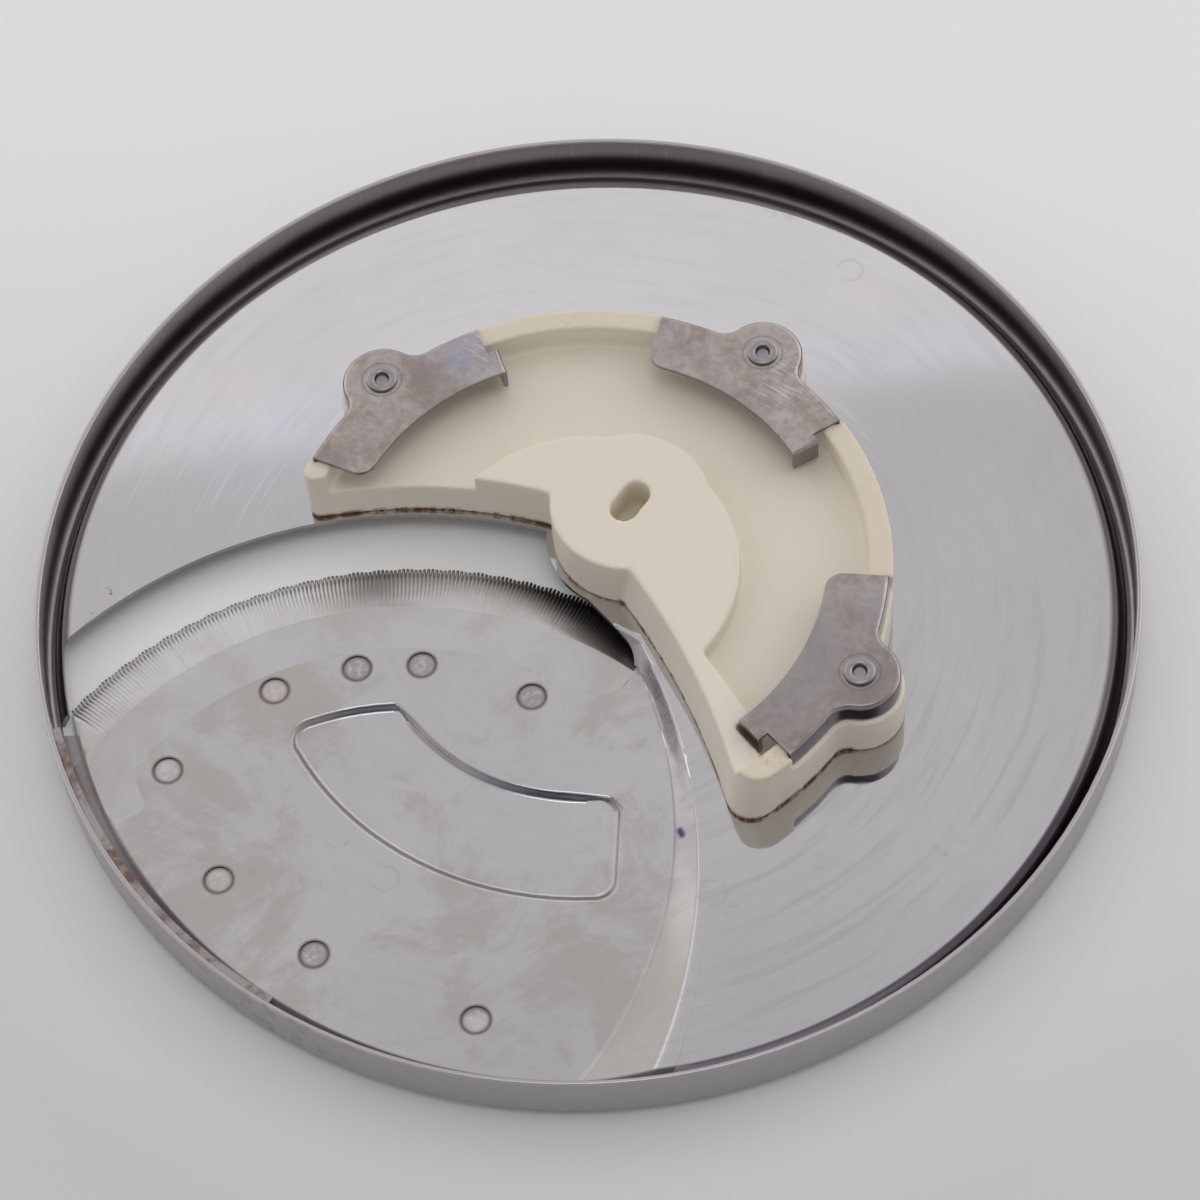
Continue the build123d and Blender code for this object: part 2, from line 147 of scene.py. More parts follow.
class NodeTree:
    """A shader node tree and the few kinds of expression that the finishes are written in."""

    def __init__(self, tree):
        self.tree = tree

    def feed(self, socket, value):
        if isinstance(value, Wire):
            self.tree.links.new(value.socket, socket)
        else:
            socket.default_value = value

    def node(self, kind, settings=None, output=0, **sockets):
        """Any node: its settings first, then its sockets by name or by _number."""
        made = self.tree.nodes.new(kind)
        for key, value in (settings or {}).items():
            setattr(made, key, value)
        for key, value in sockets.items():
            socket = made.inputs[int(key[1:])] if key.startswith("_") else made.inputs[key]
            self.feed(socket, value)
        return Wire(self, made.outputs[output])

    def maths(self, operation, *values):
        sockets = {f"_{place}": value for place, value in enumerate(values)}
        return self.node("ShaderNodeMath", {"operation": operation}, **sockets)

    def vector(self, operation, *values, output=0):
        sockets = {f"_{place}": value for place, value in enumerate(values)}
        return self.node("ShaderNodeVectorMath", {"operation": operation}, output, **sockets)

    def axes(self, vector):
        split = self.tree.nodes.new("ShaderNodeSeparateXYZ")
        self.feed(split.inputs[0], vector)
        return [Wire(self, socket) for socket in split.outputs]

    def join(self, x, y, z):
        return self.node("ShaderNodeCombineXYZ", _0=x, _1=y, _2=z)

    def noise(self, vector, scale, detail=4.0, roughness=0.55, distortion=0.0):
        return self.node("ShaderNodeTexNoise", Vector=vector, Scale=scale, Detail=detail,
                         Roughness=roughness, Distortion=distortion)

    def step(self, value, low, high):
        """0 below low, 1 above high, smooth between; low may be the greater one."""
        settings = {"interpolation_type": "SMOOTHSTEP"}
        return self.node("ShaderNodeMapRange", settings, Value=value,
                         **{"From Min": low, "From Max": high})

    def between(self, value, low, high, soft):
        return self.step(value, low - soft, low + soft) * self.step(value, high + soft, high - soft)

    def mix(self, share, under, over):
        """Colour over another by a share from 0 to 1."""
        made = self.tree.nodes.new("ShaderNodeMix")
        made.data_type = "RGBA"
        made.clamp_factor = True
        self.feed(made.inputs["Factor"], share)
        for slot, value in (("A", under), ("B", over)):
            socket = [s for s in made.inputs if s.name == slot and s.type == "RGBA"][0]
            self.feed(socket, value if isinstance(value, Wire) else (*value, 1.0))
        return Wire(self, [s for s in made.outputs if s.type == "RGBA"][0])

    def spread(self, value, low, high):
        """Straight line from low at 0 to high at 1."""
        return value * (high - low) + low


class Finish(NodeTree):
    """Material of one finish, round a single Principled shader, in object coordinates."""

    def __init__(self, name, **constants):
        self.material = bpy.data.materials.new(name)
        self.material.use_nodes = True
        super().__init__(self.material.node_tree)
        self.tree.nodes.clear()
        self.shader = self.tree.nodes.new("ShaderNodeBsdfPrincipled")
        for socket, value in constants.items():
            self.shader.inputs[socket.replace("_", " ").title().replace("Ior", "IOR")].default_value = value
        output = self.tree.nodes.new("ShaderNodeOutputMaterial")
        self.tree.links.new(self.shader.outputs["BSDF"], output.inputs["Surface"])
        self.place = self.node("ShaderNodeTexCoord", output="Object")
        self.x, self.y, self.z = self.axes(self.place)

    def from_axis(self, centre=(0.0, 0.0)):
        """Distance from an upright axis, and the unit direction from it."""
        flat = self.join(self.x - centre[0], self.y - centre[1], 0.0)
        return self.vector("LENGTH", flat, output="Value"), self.vector("NORMALIZE", flat)

    def distance_to(self, point):
        return self.from_axis(point)[0]

    def rings(self, points, radius, width):
        """Thin soft rings round plan points."""
        total = 0.0
        for point in points:
            gap = self.maths("ABSOLUTE", self.distance_to(point) - radius)
            total = self.step(gap, width, 0.0) + total
        return total

    def patches(self, points, radius, soft):
        """Soft round patches on plan points."""
        total = 0.0
        for point in points:
            total = self.step(self.distance_to(point), radius + soft, radius - soft) + total
        return total

    def lines_round(self, centre, fineness, stretch, detail=3.0):
        """Fine grain that runs in circles round an axis."""
        far, way = self.from_axis(centre)
        x, y, _ = self.axes(way)
        return self.noise(self.join(x * stretch, y * stretch, far * fineness), 1.0, detail)

    def lines_along(self, angle, length, width, detail=4.0):
        """Streaks of that length and width, laid at an angle on the plan."""
        along = self.x * cos(radians(angle)) + self.y * sin(radians(angle))
        across = self.y * cos(radians(angle)) - self.x * sin(radians(angle))
        return self.noise(self.join(along / length, across / width, self.z / width), 1.0, detail)

    def surface(self, colour, roughness, height=None, depth=0.1 * MM, round_edges=0.0):
        """Links the parts of the shader that change over the surface. Height is in units of depth."""
        self.feed(self.shader.inputs["Base Color"], colour)
        self.feed(self.shader.inputs["Roughness"], roughness)
        normal = None
        if round_edges:
            normal = self.node("ShaderNodeBevel", {"samples": 6}, Radius=round_edges)
        if height is not None:
            sockets = {"Normal": normal} if normal else {}
            normal = self.node("ShaderNodeBump", Height=height, Distance=depth, **sockets)
        if normal:
            self.feed(self.shader.inputs["Normal"], normal)
        return self.material


def wiped_sheet(finish, low_ground):
    """Colour and roughness of the bright sheet, with wiping arcs, fine scores, broad sweeps and warm and
    cool patches of painted reflection.
    """
    cloud = finish.step(finish.noise(finish.place, 26.0, 5.0, 0.6, 0.4), 0.38, 0.66)
    colour = finish.mix(cloud, (0.597, 0.592, 0.602), (0.625, 0.620, 0.623))
    wiped = finish.step(finish.lines_round((0.0, 0.0), 520.0, 5.0, 4.0), 0.42, 0.72)
    colour = finish.mix(wiped * 0.22, colour, (0.52, 0.50, 0.50))
    scores = finish.lines_round((0.004, -0.006), 2600.0, 3.2, 2.0)
    scores = finish.step(scores, 0.60, 0.72) * finish.step(cloud, 0.1, 0.9)
    colour = finish.mix(scores * 0.20, colour, (0.72, 0.71, 0.71))
    sweep = finish.lines_round((0.0, 0.0), 620.0, 2.6, 6.0)
    sweep = finish.step(sweep, 0.50, 0.68) * finish.step(finish.y, 0.020, -0.040)
    colour = finish.mix(sweep * (1.0 - low_ground) * 0.42, colour, (0.50, 0.47, 0.452))
    # Painted reflection: warm and cool patches of lamp glare on the plate
    colour = finish.mix(finish.patches(WARM_PAINTED_GLARE, 5 * MM, 8 * MM) * 0.40, colour, (0.66, 0.625, 0.585))
    colour = finish.mix(finish.patches(COOL_PAINTED_GLARE, 6 * MM, 9 * MM) * 0.35, colour, (0.64, 0.645, 0.72))
    return colour, finish.spread(wiped, 0.04, 0.075) + scores * 0.10 + sweep * 0.04


def stained(finish, colour, low_ground):
    """Brown haze on the low ground, specks on the rest and dried drops. Gives the haze as well."""
    smudge = finish.noise(finish.place, 48.0, 8.0, 0.74, 0.5)
    smudge = smudge + finish.lines_along(28.0, 9.0 * MM, 2.2 * MM) * 0.16
    deep = finish.patches(BROWNEST, 11 * MM, 12 * MM)
    clean = finish.patches(CLEANEST, 6 * MM, 12 * MM)
    haze = finish.step(smudge + deep * 0.10 - clean * 0.08, 0.54, 0.72) * low_ground
    colour = finish.mix(haze * 0.60, colour, (0.475, 0.42, 0.388))
    specks = finish.step(finish.noise(finish.place, 420.0, 4.0, 0.7), 0.53, 0.66)
    specks = finish.patches(SPECKED, 3 * MM, 4 * MM) * specks * (1.0 - low_ground)
    colour = finish.mix(specks * 0.35, colour, (0.42, 0.37, 0.34))
    broken = finish.step(finish.noise(finish.place, 300.0, 3.0), 0.42, 0.6)
    drops = finish.rings(DRIED_DROPS, 2.2 * MM, 0.5 * MM) * broken
    return finish.mix(drops * 0.30, colour, (0.44, 0.39, 0.37)), haze


def folded(finish, colour, ramp):
    """Ramp painted darker as painted shade, with a dark spot on its crease, and the bends round the emboss
    darkened as painted shade with dark-blue painted reflections on their sides.
    """
    # Painted shade: the ramp is painted darker than the sheet, darkest at its front end
    tan = finish.step(finish.noise(finish.place, 55.0, 4.0, 0.6), 0.42, 0.62)
    front_end = finish.step(finish.y, -64 * MM, -44 * MM)
    ramp_painted_shade = finish.mix(front_end, (0.41, 0.385, 0.36), (0.33, 0.31, 0.325))
    colour = finish.mix(ramp * finish.spread(tan, 0.80, 0.97), colour, ramp_painted_shade)
    spot = finish.patches(CREASE_SPOT, 0.45 * MM, 0.40 * MM)
    colour = finish.mix(spot * 0.9, colour, (0.06, 0.06, 0.13))
    # Painted reflection: the sides of the emboss are painted dark blue, most near the listed places
    bend_reflection = finish.patches(DARK_REFLECTING_BENDS, 6 * MM, 4 * MM)
    near = finish.step(finish.distance_to(tuple(EMBOSS_MIDDLE)), 36 * MM, 35 * MM)
    floor_height = PLATEAU_TOP - SHEET
    bend = finish.between(finish.z, floor_height + 0.04 * MM, PLATEAU_TOP - 0.03 * MM, 0.025 * MM) * near
    side = finish.between(finish.z, floor_height + 0.10 * MM, PLATEAU_TOP - 0.08 * MM, 0.06 * MM) * near
    # Painted shade: the bends round the emboss are painted darker
    colour = finish.mix(bend * 0.65, colour, (0.40, 0.37, 0.355))
    return finish.mix(side * finish.spread(bend_reflection, 0.30, 0.80), colour, (0.15, 0.145, 0.19)), bend


def welded(finish, colour, low_ground):
    """Dark ring and mottled face of each spot weld. Gives the faces as well."""
    ring = finish.rings(WELDS, 2.3 * MM, 0.6 * MM)
    face = finish.patches(WELDS, 1.6 * MM, 0.3 * MM)
    mottle = finish.step(finish.noise(finish.place, 1100.0, 4.0, 0.7), 0.45, 0.6)
    colour = finish.mix(ring * low_ground * 0.85, colour, (0.15, 0.11, 0.10))
    return finish.mix(face * low_ground * mottle * 0.45, colour, (0.70, 0.68, 0.67)), face


def rim_wall(finish, colour, wall, outside):
    """Wall inside the rim with a band of painted shade, its upright ticks, its lip painted darker as a
    painted reflection, and the handled outside.
    """
    z = finish.z
    # Painted shade: a dark band across the middle of the inside wall
    shaded = finish.between(z, 3.0 * MM, 6.6 * MM, 1.3 * MM)
    tone = finish.mix(shaded, (0.60, 0.555, 0.55), (0.16, 0.135, 0.13))
    across, up, _ = finish.axes(finish.from_axis()[1])
    ticks = finish.noise(finish.join(across * 260.0, up * 260.0, z * 60.0), 1.0, 2.0)
    ticks = finish.step(ticks, 0.62, 0.68) * finish.step(z, 6.5 * MM, 8.0 * MM)
    tone = finish.mix(ticks * 0.6, tone, (0.80, 0.77, 0.77))
    # Painted reflection: the lip is painted darker
    lip = finish.step(z, RIM_TOP - 0.45 * MM, RIM_TOP - 0.25 * MM)
    tone = finish.mix(lip, tone, (0.44, 0.405, 0.41))
    colour = finish.mix(wall * (1.0 - outside), colour, tone)
    colour = finish.mix(outside, colour, (0.462, 0.452, 0.462))
    handled = finish.step(finish.noise(finish.place, 330.0, 5.0, 0.72), 0.50, 0.64)
    most = finish.patches(HANDLED_RIM, 14 * MM, 14 * MM)
    return finish.mix(outside * handled * finish.spread(most, 0.07, 0.40), colour, (0.24, 0.185, 0.16))


def groove_dirt_and_shade(finish, colour, far, groove, wall):
    """Groove painted dark as painted shade, with a nest of crumbs, the turned-down plate edge painted dark
    as a painted reflection, and specks of rust beside it.
    """
    # Painted shade: the groove is painted dark, a little lighter in its middle
    middle = finish.between(far, 86.1 * MM, 87.4 * MM, 0.35 * MM)
    tone = finish.mix(middle, (0.10, 0.085, 0.085), (0.21, 0.19, 0.19))
    colour = finish.mix(groove * 0.85, colour, tone)
    crumbs = finish.noise(finish.place, 1500.0, 4.0, 0.7)
    nest = finish.patches(CRUMB_NEST, 2 * MM, 4 * MM)
    dirt = groove * finish.step(crumbs + nest * 0.03, 0.58, 0.64)
    colour = finish.mix(dirt * finish.spread(nest, 0.10, 0.85), colour, (0.36, 0.22, 0.11))
    # Painted reflection: the turned-down plate edge is painted dark towards the front
    turned_down_reflection = finish.step(far, GROOVE_INSIDE + 0.1 * MM, GROOVE_INSIDE + 0.6 * MM)
    turned_down_reflection = turned_down_reflection * finish.step(finish.y, -0.030, -0.050) * (1.0 - wall)
    colour = finish.mix(turned_down_reflection * 0.85, colour, (0.075, 0.065, 0.085))
    rust = finish.step(finish.noise(finish.place, 900.0, 2.0), 0.66, 0.70)
    rust = rust * finish.patches(RUST_SPECKS, 1.5 * MM, 1.5 * MM)
    return finish.mix(rust * 0.9, colour, (0.18, 0.05, 0.02))


def plate_steel():
    """Bright rolled sheet, wiped in arcs, with brown haze on the low ground, weld marks and dirt, and
    painted shade and reflections on the ramp, the emboss, the rim wall and the groove.
    """
    finish = Finish("plate_steel", metallic=1.0)
    far = finish.distance_to((0.0, 0.0))
    low_ground = finish.step(finish.z, 3.2 * MM, 2.0 * MM)
    wall = finish.step(far, WALL_INSIDE, WALL_INSIDE + 0.4 * MM)
    outside = finish.step(far, RIM_OUTSIDE - 0.5 * MM, RIM_OUTSIDE - 0.2 * MM)
    groove = finish.step(far, GROOVE_INSIDE, GROOVE_INSIDE + 1.0 * MM) - wall
    ramp = finish.between(finish.z, PLATEAU_TOP + 0.06 * MM, PLATE_TOP - 0.05 * MM, 0.03 * MM)
    ramp = ramp * finish.step(far, GROOVE_INSIDE + 0.6 * MM, GROOVE_INSIDE + 0.2 * MM)

    colour, rough = wiped_sheet(finish, low_ground)
    colour, haze = stained(finish, colour, low_ground)
    colour, emboss_bend = folded(finish, colour, ramp)
    colour, weld_face = welded(finish, colour, low_ground)
    colour = rim_wall(finish, colour, wall, outside)
    colour = groove_dirt_and_shade(finish, colour, far, groove, wall)
    rough = rough + haze * 0.10 + wall * 0.30 + groove * 0.15 + weld_face * 0.15
    rough = rough + ramp * 0.20 + emboss_bend * 0.22
    waves = finish.noise(finish.place, 13.0, 1.0, 0.4)
    return finish.surface(colour, rough, waves, 0.12 * MM)


def blade_steel():
    """Ground blade: radial grinding lines on the bevel, whose inner end is painted dark as a painted
    reflection.
    """
    finish = Finish("blade_steel", metallic=1.0)
    far, way = finish.from_axis(tuple(BLADE_CENTRE))
    along, up, _ = finish.axes(way)
    bevel = finish.step(far, BLADE_EDGE_RADIUS - BLADE_BEVEL - 0.3 * MM, BLADE_EDGE_RADIUS - BLADE_BEVEL)
    haze = finish.step(finish.noise(finish.place, 60.0, 5.0, 0.6, 0.4), 0.40, 0.70)
    colour = finish.mix(haze, (0.61, 0.60, 0.61), (0.54, 0.515, 0.495))
    grinding = finish.noise(finish.join(along * 420.0, up * 420.0, far * 60.0), 1.0, 2.0, 0.6)
    colour = finish.mix(bevel * finish.step(grinding, 0.45, 0.75) * 0.35, colour, (0.40, 0.38, 0.37))
    band = finish.between(along, -0.04, 0.07, 0.05) * finish.step(far, 62.5 * MM, 66.0 * MM)
    colour = finish.mix(band * 0.5, colour, (0.20, 0.17, 0.16))
    # Painted reflection: the bevel is painted almost black towards its right-hand end
    dark_end_reflection = (along - 0.40) / 0.15 + (far - 64.0 * MM) / (4.0 * MM)
    colour = finish.mix(bevel * finish.step(dark_end_reflection, -0.2, 1.3) * 0.88, colour, (0.052, 0.042, 0.042))
    tips = finish.step(far, BLADE_EDGE_RADIUS - 0.75 * MM, BLADE_EDGE_RADIUS - 0.25 * MM)
    colour = finish.mix(tips * 0.7, colour, (0.10, 0.09, 0.09))
    rough = finish.spread(grinding, 0.12, 0.20) + bevel * 0.16
    return finish.surface(colour, rough, grinding * bevel, 0.006 * MM, 0.4 * MM)


def strip_steel():
    """Balance strip, dull and browned."""
    finish = Finish("strip_steel", metallic=1.0)
    stain = finish.step(finish.noise(finish.place, 120.0, 5.0, 0.65), 0.45, 0.62)
    colour = finish.mix(stain, (0.40, 0.375, 0.37), (0.18, 0.125, 0.10))
    return finish.surface(colour, finish.spread(stain, 0.25, 0.5), stain, 0.05 * MM)


def hub_plastic():
    """Cream moulded plastic, satin, with rusty dirt where it meets the window and a moulded arrow."""
    finish = Finish("hub_plastic", specular_ior_level=0.45)
    z = finish.z
    cloud = finish.noise(finish.place, 40.0, 4.0, 0.6)
    grain = finish.noise(finish.place, 1600.0, 3.0, 0.6)
    colour = finish.mix(cloud, (0.775, 0.708, 0.585), (0.805, 0.745, 0.635))
    raised = finish.step(z, TRAY_TOP + 3.6 * MM, TRAY_TOP + 4.4 * MM)
    colour = finish.mix(raised * 0.8, colour, (0.72, 0.635, 0.505))
    rim_dirt = finish.step(finish.distance_to(tuple(BLADE_CENTRE)), WINDOW_SIDE + 1.4 * MM, WINDOW_SIDE)
    foot = finish.step(z, PLATE_TOP + 1.4 * MM, PLATE_TOP + 0.5 * MM)
    blotch = finish.noise(finish.place, 330.0, 5.0, 0.7)
    corner = finish.patches(BROWN_CORNER, 2.0 * MM, 3.0 * MM)
    left_end = finish.patches(RUSTIEST_FOOT, 3 * MM, 6 * MM)
    soil = foot * finish.step(blotch + left_end * 0.1, 0.44, 0.56) * finish.spread(rim_dirt, 0.08, 1.0)
    colour = finish.mix(soil * 0.92, colour, (0.25, 0.085, 0.024))
    colour = finish.mix(corner * finish.step(blotch, 0.46, 0.56) * 0.5, colour, (0.42, 0.24, 0.13))
    upper = finish.step(z, PLATE_TOP + 8.0 * MM, PLATE_TOP + 11.0 * MM)
    beside, above = finish.x - MOULDED_ARROW[0], finish.y - MOULDED_ARROW[1]
    arrow = finish.maths("ABSOLUTE", finish.maths("ABSOLUTE", beside) * 1.15 - above)
    arrow = finish.step(arrow, 0.28 * MM, 0.10 * MM) * finish.step(finish.y, 49.4 * MM, 49.2 * MM)
    mark = (arrow + finish.rings(MOULDED_RING, 1.7 * MM, 0.3 * MM) * 0.6) * upper
    colour = finish.mix(mark * 0.30, colour, (0.52, 0.44, 0.30))
    return finish.surface(colour, finish.spread(cloud, 0.36, 0.48), grain, 0.006 * MM)


def clip_steel():
    """Pressed clip steel, satin, brownish, with heat colours on one clip and worn ends."""
    finish = Finish("clip_steel", metallic=1.0)
    fine = finish.noise(finish.place, 700.0, 4.0, 0.7)
    cloud = finish.noise(finish.place, 95.0, 8.0, 0.75, 0.3) + (fine - 0.5) * 0.45
    colour = finish.mix(finish.step(cloud, 0.30, 0.72), (0.30, 0.252, 0.232), (0.50, 0.445, 0.42))
    cooler = finish.step(finish.noise(finish.place, 42.0, 3.0, 0.6, 0.3), 0.50, 0.66)
    colour = finish.mix(cooler * 0.38, colour, (0.45, 0.44, 0.475))
    third = finish.patches(THIRD_CLIP, 16 * MM, 4 * MM)
    colour = finish.mix(third * 0.42, colour, (0.25, 0.225, 0.225))
    tint_place = finish.patches(HEAT_TINT, 5 * MM, 5 * MM)
    heat = finish.lines_along(25.0, 5.0 * MM, 0.9 * MM)
    colour = finish.mix(tint_place * finish.step(heat, 0.42, 0.60) * 0.6, colour, (0.36, 0.38, 0.52))
    worn_place = finish.patches(RUBBED_ENDS, 3 * MM, 6 * MM)
    rubbed = finish.lines_along(-40.0, 4.0 * MM, 0.35 * MM)
    colour = finish.mix(worn_place * finish.step(rubbed, 0.54, 0.62) * 0.8, colour, (0.72, 0.70, 0.69))
    bent = finish.step(finish.z, CLIP_TOP - 0.06 * MM, CLIP_TOP - 0.30 * MM)
    colour = finish.mix(bent * 0.80, colour, (0.27, 0.25, 0.285))
    pressed = finish.rings(RIVET_PLACES, 3.3 * MM, 0.35 * MM)
    colour = finish.mix(pressed * 0.45, colour, (0.17, 0.145, 0.14))
    rough = finish.spread(fine, 0.26, 0.40) - bent * 0.16
    return finish.surface(colour, rough, fine * 0.35 - pressed, 0.02 * MM)


def rivet_steel():
    """Rivet steel, rolled over, with dark dirt in the bore."""
    finish = Finish("rivet_steel", metallic=1.0)
    fine = finish.noise(finish.place, 1200.0, 4.0, 0.7)
    colour = finish.mix(fine, (0.24, 0.225, 0.23), (0.40, 0.385, 0.395))
    seam = finish.between(finish.z, CLIP_TOP - 0.05 * MM, CLIP_TOP + 0.18 * MM, 0.12 * MM)
    colour = finish.mix(seam * 0.75, colour, (0.13, 0.105, 0.10))
    return finish.surface(colour, finish.spread(fine, 0.28, 0.42), fine, 0.01 * MM)


# Rounding of the merged copies

def lies_at(edge, height, within=0.02 * MM):
    return all(abs(vert.co.z - height) < within for vert in edge.verts)


def fold(edge):
    """Degrees that the surface turns over an edge, or 0 at an open edge."""
    return degrees(edge.calc_face_angle(0.0)) if len(edge.link_faces) == 2 else 0.0


def round_plate(form):
    """Rounds the rim's lip and the folds of the emboss and the ramp, then refills the flats."""
    def upper(edge):
        level = abs(edge.verts[0].co.z - edge.verts[1].co.z) < 0.01 * MM
        faces_up = any(face.normal.z > 0.99 for face in edge.link_faces)
        return level and faces_up and max(vert.co.xy.length for vert in edge.verts) < 86.0 * MM

    def at_emboss(edge):
        return all((vert.co.xy - EMBOSS_MIDDLE).length < EMBOSS_REACH for vert in edge.verts)

    lip = [edge for edge in form.edges if lies_at(edge, RIM_TOP) and fold(edge) > 60]
    ramp = [edge for edge in form.edges if upper(edge) and not at_emboss(edge) and 3 < fold(edge) < 45]
    emboss = [edge for edge in form.edges
              if upper(edge) and (20 if at_emboss(edge) else 45) < fold(edge) < 60]
    for edges, width in ((lip, LIP_ROUNDING), (ramp, RAMP_ROUNDING), (emboss, EMBOSS_ROUNDING)):
        edges = [edge for edge in edges if edge.is_valid]
        bmesh.ops.bevel(form, geom=edges, offset=width, offset_type="OFFSET", segments=4, profile=0.5,
                        affect="EDGES", clamp_overlap=False, loop_slide=False)
    refill(form, PLATEAU_TOP, ON_PLATEAU)
    refill(form, PLATEAU_TOP - SHEET, IN_EMBOSS)
    refill(form, PLATE_TOP, ON_PLATE)
    bmesh.ops.recalc_face_normals(form, faces=form.faces)


def holds(sides, point):
    """Whether a point is inside the outline that the sides make, holes left out."""
    crossings = 0
    for first, second in sides:
        if (first.y > point.y) != (second.y > point.y):
            share = (point.y - first.y) / (second.y - first.y)
            crossings += first.x + share * (second.x - first.x) > point.x
    return crossings % 2 == 1


def refill(form, height, seed):
    """Fills afresh the level area at a height that holds the plan point."""
    level = [face for face in form.faces if all(abs(v.co.z - height) < 0.003 * MM for v in face.verts)]
    area = set(level)
    start = min(level, key=lambda face: (face.calc_center_median().xy - Vector(seed)).length)
    linked, waiting = {start}, [start]
    while waiting:
        for edge in waiting.pop().edges:
            for face in edge.link_faces:
                if face in area and face not in linked:
                    linked.add(face)
                    waiting.append(face)
    border = [edge for edge in form.edges
              if sum(face in linked for face in edge.link_faces) == 1 and len(edge.link_faces) == 2]
    corners = list({vert for edge in border for vert in edge.verts})
    number = {vert: place for place, vert in enumerate(corners)}
    plan = [vert.co.xy / MM for vert in corners]
    pairs = [tuple(number[vert] for vert in edge.verts) for edge in border]
    bmesh.ops.delete(form, geom=list(linked), context="FACES_ONLY")
    bmesh.ops.delete(form, geom=[edge for edge in form.edges if not edge.link_faces], context="EDGES")
    places, _, triangles, sources, _, _ = delaunay_2d_cdt(plan, pairs, [], 1, 0.0001)
    made = [corners[source[0]] if source else form.verts.new((place.x * MM, place.y * MM, height))
            for place, source in zip(places, sources)]
    sides = [(plan[first], plan[second]) for first, second in pairs]
    for triangle in triangles:
        face = [made[place] for place in triangle]
        middle = sum((places[place] for place in triangle), Vector((0.0, 0.0))) / 3
        if holds(sides, middle) and len(set(face)) == 3 and not form.faces.get(face):
            form.faces.new(face)


def clip_rounding(edge):
    """Width of rounding for a clip's edge: wide where the flange turns down, slight elsewhere."""
    if fold(edge) < 40:
        return 0.0
    if lies_at(edge, CLIP_TOP):
        for face in edge.link_faces:
            if abs(face.normal.z) < 0.2 and min(v.co.z for v in face.verts) < CLIP_TOP - 1.5 * MM:
                return CLIP_BEND
    return CLIP_EDGE


# Each node's finish, the fold in degrees from which an edge stays sharp, and its rounding
PIECES = {
    "disc_plate": (plate_steel, 30.0, None),
    "slicing_blade": (blade_steel, 50.0, None),
    "balance_strip": (strip_steel, 30.0, None),
    "hub": (hub_plastic, 60.0, None),
    "retaining_clip_1": (clip_steel, 30.0, clip_rounding),
    "retaining_clip_2": (clip_steel, 30.0, clip_rounding),
    "retaining_clip_3": (clip_steel, 30.0, clip_rounding),
}


def finished(mesh, name, node):
    """Puts a finished mesh in the scene in the CAD node's place."""
    piece = bpy.data.objects.new(name, mesh)
    bpy.context.scene.collection.objects.link(piece)
    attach(piece, "root")
    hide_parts(node)
    return piece


def merged_copy(node, crease, rounding):
    """Copy of a CAD node with its loose triangles merged, flat areas joined and edges weighted."""
    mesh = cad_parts[node].data.copy()
    form = bmesh.new()
    form.from_mesh(mesh)
    bmesh.ops.remove_doubles(form, verts=form.verts, dist=0.001 * MM)
    if node == "disc_plate":
        round_plate(form)
    for face in form.faces:
        face.smooth = True
    weight = form.edges.layers.float.new("bevel_weight_edge")
    for edge in form.edges:
        edge.smooth = fold(edge) < crease and len(edge.link_faces) == 2
        if rounding:
            edge[weight] = rounding(edge) / WIDEST
    form.to_mesh(mesh)
    form.free()
    mesh.materials.clear()
    return mesh


def dressed(node, material, crease, rounding):
    """Finished copy of a CAD node, with its edges rounded and its shading evened."""
    mesh = merged_copy(node, crease, rounding)
    mesh.materials.append(material)
    piece = finished(mesh, f"{node}_finished", node)
    if rounding:
        bevel = piece.modifiers.new("rounded edges", "BEVEL")
        bevel.limit_method = "WEIGHT"
        bevel.width = WIDEST
        bevel.segments = 3
        bevel.use_clamp_overlap = False
        bevel.loop_slide = False
        bevel.miter_outer = "MITER_ARC"
    if node == "hub":
        cells = piece.modifiers.new("even cells", "REMESH")
        cells.mode = "VOXEL"
        cells.voxel_size = 0.42 * MM
        cells.use_smooth_shade = True
        soften = piece.modifiers.new("moulded edges", "SMOOTH")
        soften.factor = 0.5
        soften.iterations = 3
        return piece
    weights = piece.modifiers.new("even shading", "WEIGHTED_NORMAL")
    weights.keep_sharp = True
    return piece


def lathed(profile, turns):
    """Mesh of a closed profile turned about Z."""
    corners = [(radius * cos(2 * pi * turn / turns), radius * sin(2 * pi * turn / turns), height)
               for turn in range(turns) for radius, height in profile]
    count = len(profile)
    faces = []
    for turn in range(turns):
        here, onward = turn * count, (turn + 1) % turns * count
        for place in range(count - 1):
            faces.append((here + place, onward + place, onward + place + 1, here + place + 1))
    mesh = bpy.data.meshes.new("turned")
    mesh.from_pydata(corners, [], faces)
    form = bmesh.new()
    form.from_mesh(mesh)
    bmesh.ops.remove_doubles(form, verts=form.verts, dist=0.001 * MM)
    bmesh.ops.dissolve_degenerate(form, edges=form.edges, dist=0.0005 * MM)
    bmesh.ops.recalc_face_normals(form, faces=form.faces)
    for face in form.faces:
        face.smooth = True
    for edge in form.edges:
        edge.smooth = fold(edge) < 40
    form.to_mesh(mesh)
    form.free()
    return mesh


